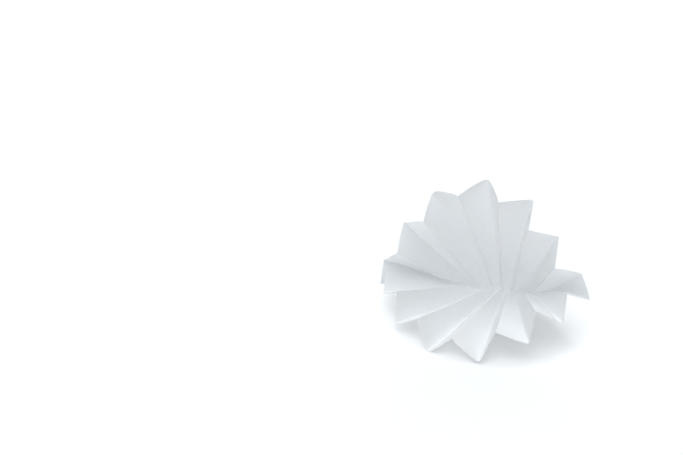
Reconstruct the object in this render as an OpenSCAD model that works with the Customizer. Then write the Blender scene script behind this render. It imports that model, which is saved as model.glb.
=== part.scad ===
// Fluted filter paper, opened and lying on a table.
//
// One round sheet is folded in half across a diameter and then pleated through
// both layers, so that every fan fold of the rear half meets a fan fold of the
// front half on the half fold. The pleats aim at a point beyond the half fold,
// which leaves the usual blunt tip. Opened, the sheet is a fluted cup: the rear
// half stands up, the front half lies on the table, and the half fold runs as a
// small zigzag along the bottom.
//
// The folds are first laid out round the axis of the cup. A few rounds of
// easing then bring every fold, rim chord and piece of the half fold back to
// the length it has in the flat sheet, because paper bends but doesn't stretch.

/* [Paper] */
// Diameter of the flat round sheet, mm
paper_d = 150; // [110:10:240]
// Thickness of the paper, mm
paper_t = 0.2; // [0.16:0.02:0.3]

/* [Folds] */
// Fan panels in each half of the sheet
panels = 14; // [12:2:16]
// Distance from the half fold to the point that the fan folds aim at, as a share of the radius
fan_share = 0.267; // [0.24:0.003:0.3]
// Rounding of the fan folds at the rim, as a share of a panel's width
fold_round_rim = 0.09; // [0.05:0.01:0.15]
// Rounding of the fan folds at the half fold, as a share of a panel's width
fold_round_tip = 0.16; // [0.1:0.01:0.2]
// Rounding of the half fold, as a share of the length of a fan fold
half_fold_round = 0.025; // [0.015:0.005:0.04]

/* [Cup axis] */
// Rise of the cup's axis above the table, degrees
axis_rise = 42.5; // [36:0.5:48]
// Turn of the cup's axis to the right of straight ahead, degrees
axis_turn = -26; // [-40:1:10]

/* [Rear half] */
// Angle from the axis to the outer (valley) folds, degrees
rear_outer = 34; // [31:0.5:38]
// Angle from the axis to the inner (ridge) folds, degrees
rear_inner = 26.5; // [24:0.5:29]
// Extra angle from the axis at both ends, degrees
rear_flare = 1; // [-2:1:4]
// Extra angle from the axis towards the right end, degrees
rear_skew = -2; // [-4:1:2]
// Bearing of the middle fold round the axis, degrees
rear_middle = -8; // [-14:1:0]
// Bearing from one fold to the next, degrees
rear_step = 15.5; // [14.5:0.5:16.5]
// Bearing lost towards both ends, degrees
rear_sway = -5; // [-8:1:0]
// Bearing gained towards the right end and lost towards the left, degrees
rear_crowd = -16; // [-20:1:-8]

/* [Front half] */
// Angle from the axis to the outer (valley) folds, degrees
front_outer = 44; // [41:0.5:47]
// Angle from the axis to the inner (ridge) folds, degrees
front_inner = 35.5; // [33:0.5:38]
// Extra angle from the axis at both ends, degrees
front_flare = -6; // [-9:1:-3]
// Extra angle from the axis towards the right end, degrees
front_skew = 0; // [-2:1:2]
// Bearing of the middle fold round the axis, degrees
front_middle = 176; // [170:1:182]
// Bearing from one fold to the next, degrees
front_step = 12.5; // [11.5:0.5:13.5]
// Bearing gained towards both ends, degrees
front_sway = 4; // [0:1:8]
// Bearing gained towards the right end and lost towards the left, degrees
front_crowd = 14; // [8:1:18]

/* [Half fold] */
// Bearing of the half fold, measured from the left-right line, degrees
line_turn = 22; // [16:1:28]
// Change of that bearing from the middle to an end, degrees
line_curl = 32; // [24:1:40]
// Rise of the half fold towards the left end, degrees
line_rise = -7; // [-12:1:-2]
// Change of that rise from the middle to an end, degrees
line_sag = -17; // [-24:1:-10]
// Half of the turn at each corner of the zigzag in the middle, degrees
zigzag = 46; // [38:1:50]
// Loss of that turn towards an end, degrees
zigzag_fade = 40; // [30:1:46]

/* [Rest] */
// How far below the middle of the half fold the table holds the lowest folds, share of the radius
table_drop = 0.02; // [0.015:0.005:0.04]

/* [Hidden] */
rad = paper_d / 2;
fan_h = fan_share * rad;
mid = panels / 2;
folds = panels - 1;
fan_step = atan(rad / fan_h) / mid;
ease_rounds = 60;
diagonal_hold = 0.15;
tip_hold = 0.15;
table_z = -table_drop * rad;

function unit(v) = v / norm(v);
function sum(list) = [for (x = list) 1] * list;
function odd(k) = k % 2 == 1;

// ---- the flat sheet: fold k = 0 is the right end of the half fold,
// ---- k = panels is the left end, and k = mid is the middle fan fold

function fan_angle(k) = (mid - k) * fan_step;
function flat_line(k) = [fan_h * tan(fan_angle(k)), 0];
function flat_rim(k) =
    let (a = fan_angle(k), r = fan_h * cos(a) + sqrt(pow(rad, 2) - pow(fan_h * sin(a), 2)))
    [r * sin(a), r * cos(a) - fan_h];

// ---- nodes: the half fold 0..panels, then the rear rim, then the front rim;
// ---- the two ends of the half fold also end both rims

function at_end(k) = k == 0 || k == panels;
function line_id(k) = k;
function rim_id(half, k) = at_end(k) ? k : panels + half * folds + k;
node_count = panels + 1 + 2 * folds;

flat = concat(
    [for (k = [0:panels]) flat_line(k)],
    [for (half = [0, 1], k = [1:folds]) flat_rim(k)]);

links = concat(
    [for (k = [0:folds]) [line_id(k), line_id(k + 1), 1]],
    [for (half = [0, 1], k = [1:folds]) [line_id(k), rim_id(half, k), 1]],
    [for (half = [0, 1], k = [0:folds]) [rim_id(half, k), rim_id(half, k + 1), 1]],
    [for (half = [0, 1], k = [1:folds - 1]) [line_id(k), rim_id(half, k + 1), diagonal_hold]],
    [for (half = [0, 1], k = [1:folds - 1]) [rim_id(half, k), line_id(k + 1), diagonal_hold]]);

function ease_of(i) = i > 0 && i < panels ? tip_hold : 1;

// For each node: [the other end, flat length, pull]
pulls = [for (i = [0:node_count - 1])
    [for (l = links) if (l[0] == i || l[1] == i)
        let (j = l[0] == i ? l[1] : l[0])
        [j, norm(flat[i] - flat[j]), l[2], l[2] * ease_of(i) / (ease_of(i) + ease_of(j))]]];
gains = [for (p = pulls) 1.2 / sum([for (c = p) c[2]])];

// ---- the folds laid out round the cup's axis

axis = [cos(axis_rise) * sin(axis_turn), -cos(axis_rise) * cos(axis_turn), sin(axis_rise)];
side = [cos(axis_turn), sin(axis_turn), 0];
up = unit(cross(side, -axis)).z > 0 ? unit(cross(side, -axis)) : unit(cross(side, axis));

function place(k) = (mid - k) / mid;
function round_axis(open, bearing) =
    cos(open) * axis + sin(open) * (cos(bearing) * up + sin(bearing) * side);
function rear_dir(k) = let (t = place(k)) round_axis(
    (odd(k) ? rear_outer : rear_inner) + rear_flare * t * t + rear_skew * t,
    rear_middle + rear_step * (mid - k) + rear_sway * t * t + rear_crowd * t * t * t);
function front_dir(k) = let (t = place(k)) round_axis(
    (odd(k) ? front_inner : front_outer) + front_flare * t * t + front_skew * t,
    front_middle - front_step * (mid - k) + front_sway * t * t + front_crowd * t * t * t);

// One piece of the half fold, from fold k to fold k + 1
function line_piece(k) =
    let (t = place(k + 0.5),
        a = line_turn + line_curl * t,
        b = line_rise + line_sag * t,
        along = [-cos(b) * cos(a), cos(b) * sin(a), sin(b)],
        n = unit(cross(along, axis)),
        back = n * up > 0 ? n : -n,
        z = max(zigzag - zigzag_fade * t * t, 0))
    (flat_line(k).x - flat_line(k + 1).x) * (cos(z) * along + (odd(k) ? -1 : 1) * sin(z) * back);

function line_points(k = 0, p = [0, 0, 0]) =
    k == panels ? [p] : concat([p], line_points(k + 1, p + line_piece(k)));
line_start = line_points();
line_laid = [for (p = line_start) p - line_start[mid]];
laid = concat(line_laid,
    [for (k = [1:folds]) line_laid[k] + norm(flat_rim(k) - flat_line(k)) * rear_dir(k)],
    [for (k = [1:folds]) line_laid[k] + norm(flat_rim(k) - flat_line(k)) * front_dir(k)]);

// ---- easing: every node moves by its share of each link's error

function shift(p, i) = let (c = pulls[i])
    [for (q = c) q[3] * (1 - q[1] / norm(p[q[0]] - p[i]))] * [for (q = c) p[q[0]] - p[i]];
function on_table(p) = [p.x, p.y, max(p.z, table_z)];
function ease(p, n) = n == 0 ? p :
    ease([for (i = [0:node_count - 1]) on_table(p[i] + gains[i] * shift(p, i))], n - 1);
net = ease(laid, ease_rounds);

// ---- the skin: s runs over the fan folds, w from the front rim (-1) over
// ---- the half fold (0) to the rear rim (1)

function row(k, w) = w >= 0
    ? net[line_id(k)] * (1 - w) + net[rim_id(0, k)] * w
    : net[line_id(k)] * (1 + w) - net[rim_id(1, k)] * w;

// The half fold is rounded by a short parabola from one half to the other
function column_point(k, w) = abs(w) >= half_fold_round ? row(k, w)
    : let (u = (w / half_fold_round + 1) / 2)
    row(k, -half_fold_round) * pow(1 - u, 2) + row(k, 0) * 2 * u * (1 - u) + row(k, half_fold_round) * u * u;

// Each fan fold is rounded the same way across its two panels
function fold_round(w) = fold_round_tip + (fold_round_rim - fold_round_tip) * min(abs(w), 1);
function skin(s, w) =
    let (e = fold_round(w), k = round(s), d = s - k)
    k > 0 && k < panels && abs(d) < e
        ? let (u = (d / e + 1) / 2, c = column_point(k, w),
            a = column_point(k - 1, w), b = column_point(k + 1, w))
        (c + (a - c) * e) * pow(1 - u, 2) + c * 2 * u * (1 - u) + (c + (b - c) * e) * u * u
        : let (f = min(floor(s), folds), g = s - f)
        column_point(f, w) * (1 - g) + column_point(f + 1, w) * g;

// How far past the straight chord the round rim lies at s, as a value of w
function rim_w(s) =
    let (f = min(max(floor(s), 0), folds), g = s - f,
        b = flat_line(f) * (1 - g) + flat_line(f + 1) * g,
        q = flat_rim(f) * (1 - g) + flat_rim(f + 1) * g,
        d = q - b, m = b * d, dd = d * d)
    (-m + sqrt(m * m - dd * (b * b - rad * rad))) / dd;

// ---- the grid

// Places across one panel: [share of its width, share of a fold's rounding]
across = [[0, 0], [0, 0.45], [0, 1], [0.36, 0], [0.64, 0], [1, -1], [1, -0.45]];
columns = [for (k = [0:folds], a = across) if (k + a[0] + a[1] > 0) [k + a[0], a[1]]];
w_half = [0, 0.008, 0.025, 0.06, 0.12, 0.22, 0.36, 0.52, 0.68, 0.84, 1];
w_list = concat([for (i = [len(w_half) - 1:-1:1]) -w_half[i]], w_half);
rows = len(w_list);
cols = len(columns);
function s_at(c, w) = c[0] + c[1] * fold_round(w);

sheet = [for (c = columns) let (e = rim_w(s_at(c, 1)))
    [for (w = w_list) skin(s_at(c, w), w * (1 + (e - 1) * abs(w)))]];
end_r = net[0];
end_l = net[panels];

function at(i, j) = i < 0 ? end_r : i >= cols ? end_l : sheet[i][min(max(j, 0), rows - 1)];
function normal(i, j) = unit(cross(at(i + 1, j) - at(i - 1, j), at(i, j + 1) - at(i, j - 1)));
normals = [for (i = [0:cols - 1]) [for (j = [0:rows - 1]) normal(i, j)]];
n_r = unit(sum(normals[0]));
n_l = unit(sum(normals[cols - 1]));

half_t = paper_t / 2;
function face_points(sign) = concat(
    [for (i = [0:cols - 1], j = [0:rows - 1]) sheet[i][j] + sign * half_t * normals[i][j]],
    [end_r + sign * half_t * n_r, end_l + sign * half_t * n_l]);
raw_points = concat(face_points(1), face_points(-1));

low = [for (a = [0:2]) min([for (p = raw_points) p[a]])];
high = [for (a = [0:2]) max([for (p = raw_points) p[a]])];
home = [(low.x + high.x) / 2, (low.y + high.y) / 2, low.z];
points = [for (p = raw_points) p - home];

side_n = cols * rows + 2;
function id(i, j) = i < 0 ? cols * rows : i >= cols ? cols * rows + 1 : i * rows + j;

upper = concat(
    [for (i = [0:cols - 2], j = [0:rows - 2], h = [0, 1])
        h == 0 ? [id(i, j), id(i, j + 1), id(i + 1, j)]
               : [id(i + 1, j), id(i, j + 1), id(i + 1, j + 1)]],
    [for (j = [0:rows - 2]) [id(-1, 0), id(0, j + 1), id(0, j)]],
    [for (j = [0:rows - 2]) [id(cols, 0), id(cols - 1, j), id(cols - 1, j + 1)]]);
lower = [for (f = upper) [f[0] + side_n, f[2] + side_n, f[1] + side_n]];

function wall(a, b) = [[a, b, b + side_n], [a, b + side_n, a + side_n]];
rim_walls = [for (i = [-1:cols - 1]) each concat(
    wall(id(i, 0), id(i + 1, 0)),
    wall(id(i + 1, rows - 1), id(i, rows - 1)))];

// The whole sheet, one closed skin of even thickness
module filter_paper() {
    color("#eef1f4")
        polyhedron(points = points, faces = concat(upper, lower, rim_walls), convexity = 20);
}

filter_paper();
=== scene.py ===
import bpy
import math
import numpy as np
from mathutils import Matrix, Vector


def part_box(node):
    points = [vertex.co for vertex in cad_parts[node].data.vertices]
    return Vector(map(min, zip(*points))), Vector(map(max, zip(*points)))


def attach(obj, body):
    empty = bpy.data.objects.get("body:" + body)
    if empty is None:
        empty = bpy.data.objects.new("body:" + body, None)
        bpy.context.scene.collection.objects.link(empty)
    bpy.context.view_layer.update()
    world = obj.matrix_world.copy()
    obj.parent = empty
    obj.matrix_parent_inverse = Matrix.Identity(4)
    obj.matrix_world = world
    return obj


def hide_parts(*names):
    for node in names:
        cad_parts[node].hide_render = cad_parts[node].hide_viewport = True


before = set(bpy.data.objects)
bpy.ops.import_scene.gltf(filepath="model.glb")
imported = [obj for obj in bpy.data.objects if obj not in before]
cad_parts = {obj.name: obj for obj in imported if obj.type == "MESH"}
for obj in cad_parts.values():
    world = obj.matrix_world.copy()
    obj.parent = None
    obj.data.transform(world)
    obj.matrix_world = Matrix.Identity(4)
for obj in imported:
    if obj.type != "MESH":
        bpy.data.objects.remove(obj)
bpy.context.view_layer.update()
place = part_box("filter_paper")


MM = 0.001

# ---------------------------------------------------------------------------
# The flat sheet: a disc folded in half on a diameter, then into PANELS
# sectors whose folds aim at a point FAN_H beyond the half fold. Millimetres.
# ---------------------------------------------------------------------------
RAD = 75.0
FAN_H = 0.267 * RAD
PANELS = 14
FOLDS = PANELS - 1
MID = PANELS // 2
STEP = math.degrees(math.atan(RAD / FAN_H)) / MID
THICK = 0.2

# The opened sheet: where each fold runs in space. Fold 0 is the right end of
# the half fold and fold 14 its left end; each other fold leaves the half fold
# and is given at a third, two thirds and the whole of its length.
HALF_FOLD = [
    (41.9, -51.4, 24.2), (24.7, -25.0, 13.7), (15.4, -16.7, 6.5),
    (11.3, -10.0, 4.9), (7.0, -8.5, 1.1), (4.7, -4.9, 1.7),
    (1.4, -4.9, -0.8), (-0.1, -2.6, 1.0), (-2.8, -2.8, -0.9),
    (-5.3, -0.7, 0.7), (-9.8, -0.6, -0.8), (-15.2, 1.2, 0.3),
    (-23.2, 1.0, 0.5), (-36.9, 1.9, 4.6), (-67.0, -11.1, 6.5),
]
REAR_FOLDS = [
    [(28.7, -32.5, 21.8), (32.6, -40.1, 29.8), (36.5, -47.9, 37.7)],
    [(17.5, -28.6, 18.6), (19.8, -40.4, 30.9), (22.2, -52.2, 43.1)],
    [(15.2, -20.1, 22.0), (19.4, -30.6, 38.9), (23.8, -41.3, 55.6)],
    [(6.4, -19.7, 20.8), (7.0, -30.9, 40.4), (8.1, -42.1, 59.8)],
    [(6.3, -12.3, 24.2), (8.2, -19.9, 46.7), (10.2, -27.5, 69.3)],
    [(-2.1, -13.2, 22.5), (-4.8, -21.5, 45.8), (-7.4, -29.7, 69.0)],
    [(-3.7, -5.9, 25.2), (-8.0, -9.7, 49.4), (-12.9, -13.6, 73.5)],
    [(-11.0, -8.5, 21.8), (-19.4, -14.2, 44.5), (-28.0, -20.0, 66.9)],
    [(-16.6, -2.7, 21.5), (-28.5, -5.4, 42.0), (-40.5, -8.4, 62.5)],
    [(-21.8, -7.5, 17.0), (-33.9, -14.6, 34.6), (-45.9, -21.6, 52.3)],
    [(-28.6, -2.3, 15.2), (-42.1, -6.1, 29.9), (-55.6, -10.2, 44.5)],
    [(-35.1, -6.1, 10.7), (-47.0, -13.1, 21.0), (-58.9, -19.8, 31.4)],
    [(-46.3, -1.6, 10.6), (-55.9, -5.7, 16.0), (-65.5, -10.1, 21.0)],
]
FRONT_FOLDS = [
    [(26.2, -35.2, 19.4), (27.7, -45.6, 24.7), (29.3, -56.2, 29.7)],
    [(19.4, -33.0, 9.7), (23.1, -49.2, 13.6), (26.7, -65.3, 18.1)],
    [(11.3, -29.3, 11.9), (11.7, -48.5, 18.9), (12.2, -67.6, 25.8)],
    [(7.9, -30.6, 4.1), (8.5, -52.7, 7.5), (8.9, -74.9, 11.0)],
    [(0.4, -28.1, 6.3), (-3.8, -51.2, 11.1), (-8.1, -74.1, 16.2)],
    [(-4.5, -28.6, -0.3), (-10.3, -52.5, 0.1), (-16.1, -76.6, 0.2)],
    [(-10.4, -25.3, 4.6), (-20.5, -48.1, 7.5), (-30.3, -71.1, 9.8)],
    [(-15.7, -23.7, -1.3), (-28.6, -44.8, -1.5), (-41.9, -65.6, -1.6)],
    [(-19.7, -19.5, 4.6), (-34.0, -38.3, 8.6), (-48.1, -57.1, 12.7)],
    [(-26.0, -16.1, 0.1), (-42.3, -31.5, 1.6), (-58.8, -46.7, 3.5)],
    [(-29.5, -12.1, 6.4), (-43.9, -25.2, 12.3), (-58.5, -38.2, 18.2)],
    [(-37.4, -8.2, 3.0), (-51.4, -17.4, 6.0), (-65.5, -26.5, 9.3)],
    [(-45.6, -3.5, 10.4), (-54.5, -9.4, 15.5), (-63.5, -15.3, 20.3)],
]


def unit(v):
    v = np.asarray(v, float)
    return v / np.maximum(np.linalg.norm(v, axis=-1, keepdims=True), 1e-12)


def flat_line(k):
    return np.array([FAN_H * math.tan(math.radians((MID - k) * STEP)), 0.0])


def flat_rim(k):
    a = math.radians((MID - k) * STEP)
    r = FAN_H * math.cos(a) + math.sqrt(RAD ** 2 - (FAN_H * math.sin(a)) ** 2)
    return np.array([r * math.sin(a), r * math.cos(a) - FAN_H])


LINES = np.array([flat_line(k) for k in range(PANELS + 1)])
RIMS = np.array([flat_rim(k) for k in range(PANELS + 1)])


def fold_rows(table):
    """Four points of every fold, from the half fold to the rim."""
    out = np.zeros((PANELS + 1, 4, 3))
    for k in range(PANELS + 1):
        out[k, :] = HALF_FOLD[k]
        if 0 < k < PANELS:
            out[k, 1:] = table[k - 1]
    return out


ROWS = np.stack([fold_rows(REAR_FOLDS), fold_rows(FRONT_FOLDS)])


def along(w):
    """Cubic weights of the four points of a fold at w."""
    x = np.asarray(w)[..., None] * 3.0
    a, b, c, d = x, x - 1, x - 2, x - 3
    return np.concatenate([-b * c * d / 6, a * c * d / 2, -a * b * d / 2, a * b * c / 6], axis=-1)


def smooth(x):
    x = np.clip(x, 0, 1)
    return x * x * (3 - 2 * x)


def noise2(x, y, seed):
    """Smooth value noise of unit spacing, between -1 and 1."""
    rng = np.random.RandomState(seed)
    tab = rng.rand(64, 64) * 2 - 1
    xi, yi = np.floor(x).astype(int), np.floor(y).astype(int)
    fx, fy = smooth(x - xi), smooth(y - yi)
    a = tab[xi % 64, yi % 64]
    b = tab[(xi + 1) % 64, yi % 64]
    c = tab[xi % 64, (yi + 1) % 64]
    d = tab[(xi + 1) % 64, (yi + 1) % 64]
    return (a * (1 - fx) + b * fx) * (1 - fy) + (c * (1 - fx) + d * fx) * fy


# How far each fold is rounded on either side, in millimetres, at the rim and
# at the half fold. A fold that was run hard with a nail is crisp, and one that
# was only pressed between the fingers is soft.
CRISP = 0.35
ROUND = np.full((2, PANELS + 1), CRISP)
ROUND[0, 9] = 2.3
ROUND[0, 11] = 0.9
ROUND[0, 5] = 0.8
ROUND[1, 8] = 3.2
ROUND[1, 6] = 2.6
ROUND[1, 10] = 0.9
ROUND[1, 4] = 0.9
ROUND[1, 2] = 2.0
TIP_ROUND = 0.3
# Some tips have opened at the rim: the further rounding there
TIP_SOFT = np.zeros((2, PANELS + 1))
TIP_SOFT[0, 7] = 3.2
TIP_SOFT[0, 5] = 2.4
TIP_SOFT[0, 9] = 0.6
TIP_SOFT[0, 3] = 0.6
TIP_SOFT[1, 4] = 0.5
# The extra bend that a pressed fold keeps: its height and how far it runs, in millimetres
PINCH = np.where(ROUND < 1.2, 0.32, 0.0)
PINCH_RUN = 0.9
HALF_ROUND = 0.014
# How far the middle of each panel stands out of the straight, in millimetres, minus towards the inside of the cup
BOW = np.array([
    [0.3, 0.4, 0.0, -0.4, 0.0, -0.3, 0.3, 0.4, 0.5, 0.0, -0.4, 0.0, -0.2, -0.4],
    [-0.6, -0.2, -0.4, 0.1, 0.1, 0.0, 0.0, -0.1, -0.2, 0.3, -0.2, 0.0, -0.2, -0.2],
])


def panel_width(f, aw):
    """Flat width of panel f at w."""
    g = np.linalg.norm(LINES[f + 1] - LINES[f], axis=-1)
    h = np.linalg.norm(RIMS[f + 1] - RIMS[f], axis=-1)
    return g * (1 - aw) + h * aw


def fold_e(k, half, aw):
    """Rounding of fold k as a part of the panels on its two sides."""
    r = TIP_ROUND + (ROUND[half, k] - TIP_ROUND) * smooth(1.5 * aw) + TIP_SOFT[half, k] * smooth((aw - 0.82) / 0.18)
    narrow = np.minimum(panel_width(np.maximum(k - 1, 0), aw), panel_width(np.minimum(k, FOLDS), aw))
    return np.where((k > 0) & (k < PANELS), np.minimum(r / narrow, 0.3), 0.0)


def rim_w(s):
    """Where the true circle lies, as a part of the fold's length."""
    f = np.clip(np.floor(s).astype(int), 0, FOLDS)
    g = (s - f)[..., None]
    b = LINES[f] * (1 - g) + LINES[f + 1] * g
    q = RIMS[f] * (1 - g) + RIMS[f + 1] * g
    d = q - b
    m = (b * d).sum(-1)
    dd = (d * d).sum(-1)
    return (-m + np.sqrt(m * m - dd * ((b * b).sum(-1) - RAD ** 2))) / dd


# Columns of the grid: (panel, kind, where). Kind -1 is the right fold's
# rounding, 0 the panel between the roundings, 1 the left fold's rounding.
COLS = []
for f in range(PANELS):
    if f:
        COLS += [(f, -1, x) for x in (0.0, 0.2, 0.4, 0.6, 0.8, 1.0)] + [(f, 0, 0.022), (f, 0, 0.048)]
    else:
        COLS += [(f, 0, x) for x in (0.008, 0.02, 0.045)]
    COLS += [(f, 0, x) for x in (0.08, 0.17, 0.27, 0.38, 0.5, 0.62, 0.73, 0.83, 0.92)]
    if f < FOLDS:
        COLS += [(f, 0, 0.952), (f, 0, 0.978)] + [(f, 1, x) for x in (1.0, 0.8, 0.6, 0.4, 0.2)]
    else:
        COLS += [(f, 0, x) for x in (0.955, 0.98, 0.992)]
TIPS = [0, 0.25, 0.5, 0.75, 1.0]
WL = [HALF_ROUND * x for x in TIPS] + [0.02, 0.028, 0.038, 0.05, 0.065, 0.082] + list(np.linspace(0.1, 1.0, 46))
WL = np.array([-x for x in WL[:0:-1]] + WL)


def grid():
    """s, w, |w| and the rounding at every point of the grid."""
    pan = np.array([c[0] for c in COLS])[:, None]
    kind = np.array([c[1] for c in COLS])[:, None]
    at = np.array([c[2] for c in COLS])[:, None]
    w = WL[None, :] + 0 * at
    aw = np.abs(w)
    half = (w < 0).astype(int)
    e0 = fold_e(pan + 0 * half, half, aw)
    e1 = fold_e(pan + 1 + 0 * half, half, aw)
    s = np.where(kind == -1, pan + e0 * at,
                 np.where(kind == 1, pan + 1 - e1 * at, pan + e0 + at * (1 - e0 - e1)))
    ew = np.where(np.rint(s) > pan, e1, e0)
    full = s[:, -1:] * (w >= 0) + s[:, :1] * (w < 0)
    return s, w * (1 + (rim_w(full) - 1) * aw), ew


def hat_weights(s, e):
    """Weights over folds 0..PANELS for every s, with each fold rounded by e."""
    out = np.zeros(s.shape + (PANELS + 1,))
    f = np.clip(np.floor(s).astype(int), 0, FOLDS)
    g = s - f
    idx = np.indices(s.shape)
    out[tuple(idx) + (f,)] = 1 - g
    out[tuple(idx) + (f + 1,)] = g
    k = np.rint(s).astype(int)
    d = s - k
    near = (k > 0) & (k < PANELS) & (np.abs(d) < e)
    u = (d / np.maximum(e, 1e-9) + 1) / 2
    out[near] = 0
    ii = [i[near] for i in idx]
    un, en, kn = u[near], e[near], k[near]
    a = en * (1 - un) ** 2
    b = en * un ** 2
    out[tuple(ii) + (kn - 1,)] = a
    out[tuple(ii) + (kn + 1,)] = b
    out[tuple(ii) + (kn,)] = 1 - a - b
    return out


def folded(s, w, e):
    """Points of the folded sheet."""
    cw = hat_weights(s, e)
    aw = np.abs(w)

    kk = np.arange(PANELS + 1)

    def side(half, at):
        """Fold points at that distance, set out so that each rounded fold's crest lies on its line."""
        line = np.einsum("...r,krc->...kc", along(at), ROWS[half])
        er = fold_e(kk, np.full(kk.shape, half), at[..., None])[..., None]
        pts = line.copy()
        for _ in range(3):
            pts[..., 1:-1, :] = (line[..., 1:-1, :] - er[..., 1:-1, :] / 4 * (pts[..., :-2, :] + pts[..., 2:, :])) \
                / (1 - er[..., 1:-1, :] / 2)
        return np.einsum("...k,...kc->...c", cw, pts)

    def pinch(half, at):
        """Near each fold the sheet stays bent further than the panels stand, because it was once pressed shut."""
        line = np.einsum("...r,krc->...kc", along(at), ROWS[half])
        out = np.zeros(s.shape + (3,))
        k = np.clip(np.rint(s).astype(int), 1, FOLDS)
        ii = np.indices(s.shape)
        here, before, after = (line[ii[0], ii[1], k + d] for d in (0, -1, 1))
        x = np.where(s > k, (s - k) * panel_width(k, at), (k - s) * panel_width(k - 1, at))
        turn = unit(here - before) + unit(here - after)
        size = PINCH[half, k] * smooth(at * 3) * np.exp(-np.sqrt(x ** 2 + 0.12 ** 2) / PINCH_RUN)
        return size[..., None] * np.where(np.linalg.norm(turn, axis=-1, keepdims=True) > 0.05, unit(turn), 0)

    h = HALF_ROUND
    p = np.where((w < 0)[..., None], side(1, aw) + pinch(1, aw), side(0, aw) + pinch(0, aw))
    u = ((np.clip(w, -h, h) / h + 1) / 2)[..., None]
    edge = np.full_like(w, h)
    mid = side(0, 0 * w)
    r = (1 - u) ** 2 * side(1, edge) + 2 * u * (1 - u) * mid + u ** 2 * side(0, edge)
    return np.where((aw < h)[..., None], r, p)


def flat_skin(s, w):
    f = np.clip(np.floor(s).astype(int), 0, FOLDS)
    g = (s - f)[..., None]
    b = LINES[f] * (1 - g) + LINES[f + 1] * g
    q = RIMS[f] * (1 - g) + RIMS[f + 1] * g
    p = b + (q - b) * np.abs(w)[..., None]
    p[..., 1] *= np.where(w < 0, -1.0, 1.0)
    return p


def grid_normals(p, end_r, end_l):
    q = np.concatenate([np.broadcast_to(end_r, (1,) + p.shape[1:]), p,
                        np.broadcast_to(end_l, (1,) + p.shape[1:])], axis=0)
    du = q[2:] - q[:-2]
    dv = np.empty_like(p)
    dv[:, 1:-1] = p[:, 2:] - p[:, :-2]
    dv[:, 0] = p[:, 1] - p[:, 0]
    dv[:, -1] = p[:, -1] - p[:, -2]
    return unit(np.cross(du, dv))


s, w, e = grid()
P = folded(s, w, e)
F = flat_skin(s, w)
ENDS = np.array([HALF_FOLD[0], HALF_FOLD[PANELS]], float)
NRM = grid_normals(P, ENDS[0], ENDS[1])

# Panels are never quite flat: each bows a little, and the whole sheet cockles
aw = np.abs(w)
f = np.clip(np.floor(s).astype(int), 0, FOLDS)
g = s - f
hf = (w < 0).astype(int)
bow = BOW[hf, f] * 4 * g * (1 - g) * smooth(aw * 1.6)
cockle = (0.10 * noise2(F[..., 0] / 9.0 + 20, F[..., 1] / 9.0 + 20, 3)
          + 0.035 * noise2(F[..., 0] / 3.1 + 30, F[..., 1] / 3.1 + 30, 4)) * smooth(aw * 3)
P = P + (bow + cockle * np.minimum(1, 6 * g * (1 - g)))[..., None] * NRM

# Set down on the table, and in the middle of the CAD part's box
TABLE = -1.45
P[..., 2] = np.maximum(P[..., 2], TABLE)
half_t = THICK / 2
NRM = grid_normals(P, ENDS[0], ENDS[1])
BOX = np.concatenate([(P + half_t * NRM).reshape(-1, 3), (P - half_t * NRM).reshape(-1, 3), ENDS])
LO, HI = BOX.min(0), BOX.max(0)
CENTRE = [(place[0][i] + place[1][i]) / 2 / MM for i in (0, 1)]
HOME = np.array([(LO[0] + HI[0]) / 2 - CENTRE[0], (LO[1] + HI[1]) / 2 - CENTRE[1], LO[2] - place[0][2] / MM])
print("home", HOME.round(3), "sheet box", LO.round(2), HI.round(2))
P = P - HOME
ENDS = ENDS - HOME


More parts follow.
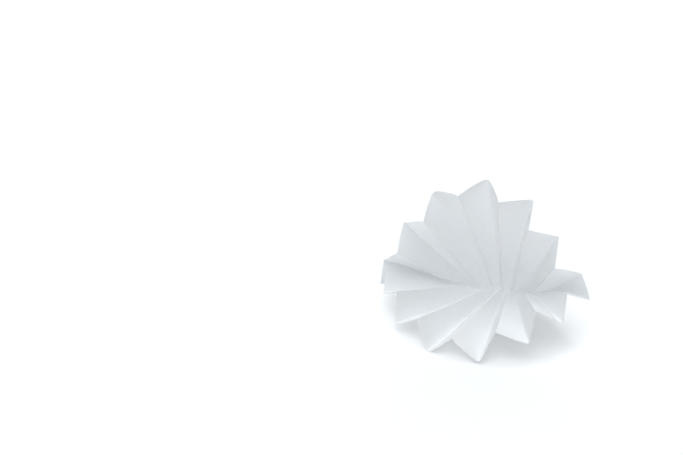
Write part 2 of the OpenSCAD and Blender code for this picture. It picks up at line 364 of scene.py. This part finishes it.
def build_sheet(name, P, NRM, F, ends, thick, pressed):
    nc, nr = P.shape[:2]
    n_r = unit(NRM[0].sum(0))
    n_l = unit(NRM[-1].sum(0))
    h = thick / 2
    verts, flats = [], []
    for sg in (1, -1):
        verts.append((P + sg * h * NRM).reshape(-1, 3))
        verts.append(np.array([ends[0] + sg * h * n_r, ends[1] + sg * h * n_l]))
        flats.append(F.reshape(-1, 2))
        flats.append(np.array([[RAD, 0.0], [-RAD, 0.0]]))
    V = np.concatenate(verts) * MM
    FL = np.concatenate(flats) * MM
    half = nc * nr + 2

    def vid(i, j):
        return nc * nr if i < 0 else nc * nr + 1 if i >= nc else i * nr + j
    top = []
    for i in range(nc - 1):
        for j in range(nr - 1):
            top.append((vid(i, j), vid(i, j + 1), vid(i + 1, j + 1), vid(i + 1, j)))
    for j in range(nr - 1):
        top.append((vid(-1, 0), vid(0, j + 1), vid(0, j)))
        top.append((vid(nc, 0), vid(nc - 1, j), vid(nc - 1, j + 1)))
    bottom = [tuple(v + half for v in reversed(f)) for f in top]
    rim = []
    for i in range(-1, nc):
        a, b = vid(i, 0), vid(i + 1, 0)
        rim.append((a, b, b + half, a + half))
        a, b = vid(i + 1, nr - 1), vid(i, nr - 1)
        rim.append((a, b, b + half, a + half))
    faces = top + bottom + rim
    me = bpy.data.meshes.new(name)
    me.from_pydata(V.tolist(), [], [f[::-1] for f in faces])
    me.validate()
    one = np.concatenate([pressed.reshape(-1), [0.0, 0.0]])
    me.attributes.new("pressed", "FLOAT", "POINT").data.foreach_set("value", np.concatenate([one, one]).astype(np.float32))
    uv = me.uv_layers.new(name="flat")
    li = np.empty(len(me.loops), dtype=np.int32)
    me.loops.foreach_get("vertex_index", li)
    uv.data.foreach_set("uv", (FL[li] / (2 * RAD * MM) + 0.5).astype(np.float32).ravel())
    for p in me.polygons:
        p.use_smooth = True
    # the cut edge stays square
    loop = [vid(i, 0) for i in range(-1, nc + 1)] + [vid(i, nr - 1) for i in range(nc - 1, -1, -1)]
    cut = {tuple(sorted((a + d, b + d))) for d in (0, half) for a, b in zip(loop, loop[1:] + loop[:1])}
    for e in me.edges:
        if tuple(sorted(e.vertices)) in cut:
            e.use_edge_sharp = True
    ob = bpy.data.objects.new(name, me)
    bpy.context.scene.collection.objects.link(ob)
    return ob


# Where a fold was run hard on its ridge the fibres are crushed: that line throws back more light
k = np.clip(np.rint(s).astype(int), 1, FOLDS)
off = np.where(s > k, (s - k) * panel_width(k, aw), (k - s) * panel_width(k - 1, aw))
ridge = (k % 2 == hf) & (ROUND[hf, k] < 1.2)
PRESSED = np.where(ridge, np.exp(-(off / 0.34) ** 2), 0.0) * smooth(aw * 6) * (1 - 0.5 * smooth((0.3 - aw) * 5))

paper = build_sheet("filter_paper_sheet", P, NRM, F, ENDS, THICK, PRESSED)
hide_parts("filter_paper")
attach(paper, "root")


# ---------------------------------------------------------------------------
# Materials
# ---------------------------------------------------------------------------
def paper_material():
    """Thin white cellulose: matt, faintly cool, cloudy and fibrous, and it lets a third of the light through."""
    mat = bpy.data.materials.new("filter_paper_fibre")
    mat.use_nodes = True
    nt = mat.node_tree
    nt.nodes.clear()
    new, link = nt.nodes.new, nt.links.new
    out = new("ShaderNodeOutputMaterial")
    mix = new("ShaderNodeMixShader")
    bs = new("ShaderNodeBsdfPrincipled")
    tr = new("ShaderNodeBsdfTranslucent")
    fold = new("ShaderNodeAttribute")
    fold.attribute_name = "pressed"
    share = new("ShaderNodeMapRange")
    share.inputs[1].default_value = 0.0
    share.inputs[2].default_value = 1.0
    share.inputs[3].default_value = PASSES
    share.inputs[4].default_value = PASSES_PRESSED
    link(fold.outputs["Fac"], share.inputs[0])
    link(share.outputs[0], mix.inputs[0])
    link(bs.outputs[0], mix.inputs[1])
    link(tr.outputs[0], mix.inputs[2])
    link(mix.outputs[0], out.inputs[0])
    bs.inputs["Roughness"].default_value = 0.95
    bs.inputs["Specular IOR Level"].default_value = 0.1
    uv = new("ShaderNodeUVMap")
    uv.uv_map = "flat"

    def noise(scale, detail, rough=0.5):
        n = new("ShaderNodeTexNoise")
        n.inputs["Scale"].default_value = scale
        n.inputs["Detail"].default_value = detail
        n.inputs["Roughness"].default_value = rough
        link(uv.outputs[0], n.inputs["Vector"])
        return n.outputs["Fac"]

    def ramp(fac, p0, c0, p1, c1):
        r = new("ShaderNodeValToRGB")
        r.color_ramp.elements[0].position = p0
        r.color_ramp.elements[0].color = c0 + (1,)
        r.color_ramp.elements[1].position = p1
        r.color_ramp.elements[1].color = c1 + (1,)
        link(fac, r.inputs["Fac"])
        return r.outputs["Color"]

    def times(a, b):
        m = new("ShaderNodeMix")
        m.data_type = "RGBA"
        m.blend_type = "MULTIPLY"
        m.inputs[0].default_value = 1.0
        link(a, m.inputs[6])
        link(b, m.inputs[7])
        return m.outputs[2]

    # how evenly the pulp lies: clouds a few millimetres across, and single fibres
    cloud = ramp(noise(46.0, 3.0, 0.6), 0.34, (0.974, 0.981, 0.987), 0.66, (0.992, 0.994, 0.996))
    fibre = ramp(noise(150.0, 3.0, 0.75), 0.32, (0.967, 0.969, 0.972), 0.60, (1.0, 1.0, 1.0))
    tint = ramp(noise(110.0, 2.0, 0.6), 0.38, (1.0, 0.998, 0.992), 0.62, (0.992, 0.998, 1.0))
    colour = times(times(cloud, fibre), tint)
    link(colour, bs.inputs["Base Color"])
    link(colour, tr.inputs["Color"])
    bump = new("ShaderNodeBump")
    bump.inputs["Strength"].default_value = 0.8
    bump.inputs["Distance"].default_value = 0.00014
    link(noise(170.0, 3.0, 0.7), bump.inputs["Height"])
    link(bump.outputs["Normal"], bs.inputs["Normal"])
    link(bump.outputs["Normal"], tr.inputs["Normal"])
    return mat


PASSES = 0.35
PASSES_PRESSED = 0.05
paper.data.materials.append(paper_material())


# ---------------------------------------------------------------------------
# Floor, light and camera
# ---------------------------------------------------------------------------
def floor():
    me = bpy.data.meshes.new("floor")
    a = 6.0
    me.from_pydata([(-a, -a, 0), (a, -a, 0), (a, a, 0), (-a, a, 0)], [], [(0, 1, 2, 3)])
    ob = bpy.data.objects.new("floor", me)
    bpy.context.scene.collection.objects.link(ob)
    mat = bpy.data.materials.new("floor_white")
    mat.use_nodes = True
    b = mat.node_tree.nodes["Principled BSDF"]
    b.inputs["Base Color"].default_value = (0.97, 0.97, 0.97, 1)
    b.inputs["Roughness"].default_value = 0.95
    b.inputs["Specular IOR Level"].default_value = 0.1
    b.inputs["Emission Color"].default_value = (1, 1, 1, 1)
    b.inputs["Emission Strength"].default_value = FLOOR_GLOW
    me.materials.append(mat)
    return ob


def studio(lights):
    """A soft white surround of broad lights, each given by its bearing, height in degrees and power."""
    world = bpy.data.worlds.new("studio")
    bpy.context.scene.world = world
    world.use_nodes = True
    nt = world.node_tree
    new, link = nt.nodes.new, nt.links.new
    bg = nt.nodes["Background"]
    at = new("ShaderNodeTexCoord").outputs["Generated"]

    def op(kind, a, b=None):
        m = new("ShaderNodeMath")
        m.operation = kind
        for v, socket in zip((a, b), m.inputs):
            if hasattr(v, "links"):
                link(v, socket)
            elif v is not None:
                socket.default_value = v
        return m.outputs[0]

    def lobe(bearing, height, power):
        """Full power towards the middle of the light, and half of it 18 degrees away."""
        d = new("ShaderNodeVectorMath")
        d.operation = "DOT_PRODUCT"
        link(at, d.inputs[0])
        b, h = math.radians(bearing), math.radians(height)
        d.inputs[1].default_value = (math.cos(h) * math.cos(b), math.cos(h) * math.sin(b), math.sin(h))
        off = op("MULTIPLY", op("SUBTRACT", d.outputs["Value"], 1.0), 14.0)
        return op("MULTIPLY", op("EXPONENT", off), power)

    total = lobe(*lights[0])
    for light in lights[1:]:
        total = op("ADD", total, lobe(*light))
    xyz = new("ShaderNodeSeparateXYZ")
    link(at, xyz.inputs[0])
    total = op("MULTIPLY", total, op("GREATER_THAN", xyz.outputs[2], -0.035))
    bg.inputs["Color"].default_value = (0.939, 0.969, 1.0, 1)
    link(total, bg.inputs["Strength"])


def softbox(name, bearing, height, away, size, power):
    """A round softbox aimed at the sheet."""
    b, h = math.radians(bearing), math.radians(height)
    li = bpy.data.lights.new(name, "AREA")
    li.shape = "DISK"
    li.size = size
    li.energy = power
    ob = bpy.data.objects.new(name, li)
    bpy.context.scene.collection.objects.link(ob)
    ob.location = Vector((math.cos(h) * math.cos(b), math.cos(h) * math.sin(b), math.sin(h))) * away
    ob.rotation_euler = (-ob.location).to_track_quat("-Z", "Y").to_euler()


FLOOR_GLOW = 0.05
floor()
studio([(240, 63, 3.05), (0, 90, 1.12), (300, 63, 0.8), (180, 63, 0.61), (120, 63, 0.33),
        (36, 38, 0.37), (72, 38, 0.74), (144, 38, 0.2), (288, 38, 0.17),
        (60, 12, 0.92), (90, 12, 1.3), (120, 12, 1.28), (240, 12, 0.5)])
softbox("key", 60, 74, 1.5, 0.4, 2.3)
bpy.context.scene.cycles.diffuse_bounces = 12
bpy.context.scene.cycles.transmission_bounces = 12
bpy.context.scene.view_settings.view_transform = "Standard"


def camera():
    pitch, roll = math.radians(28.48), math.radians(1.74)
    dist, tx, tz, f_px = 1028.73, 88.2, -30.74, 1857.0
    fv = np.array([0, math.cos(pitch), -math.sin(pitch)])
    u0 = np.array([0, math.sin(pitch), math.cos(pitch)])
    r0 = np.array([1.0, 0, 0])
    u = u0 * math.cos(roll) - r0 * math.sin(roll)
    r = r0 * math.cos(roll) + u0 * math.sin(roll)
    pos = (-tz * u - dist * fv - np.array([tx, 0, 0]) - HOME) * MM
    cam = bpy.data.cameras.new("camera")
    cam.sensor_width = 36.0
    cam.lens = f_px / 683.0 * 36.0
    cam.clip_end = 50
    ob = bpy.data.objects.new("camera", cam)
    bpy.context.scene.collection.objects.link(ob)
    m = Matrix(((r[0], u[0], -fv[0], pos[0]), (r[1], u[1], -fv[1], pos[1]),
                (r[2], u[2], -fv[2], pos[2]), (0, 0, 0, 1)))
    ob.matrix_world = m
    bpy.context.scene.camera = ob


camera()
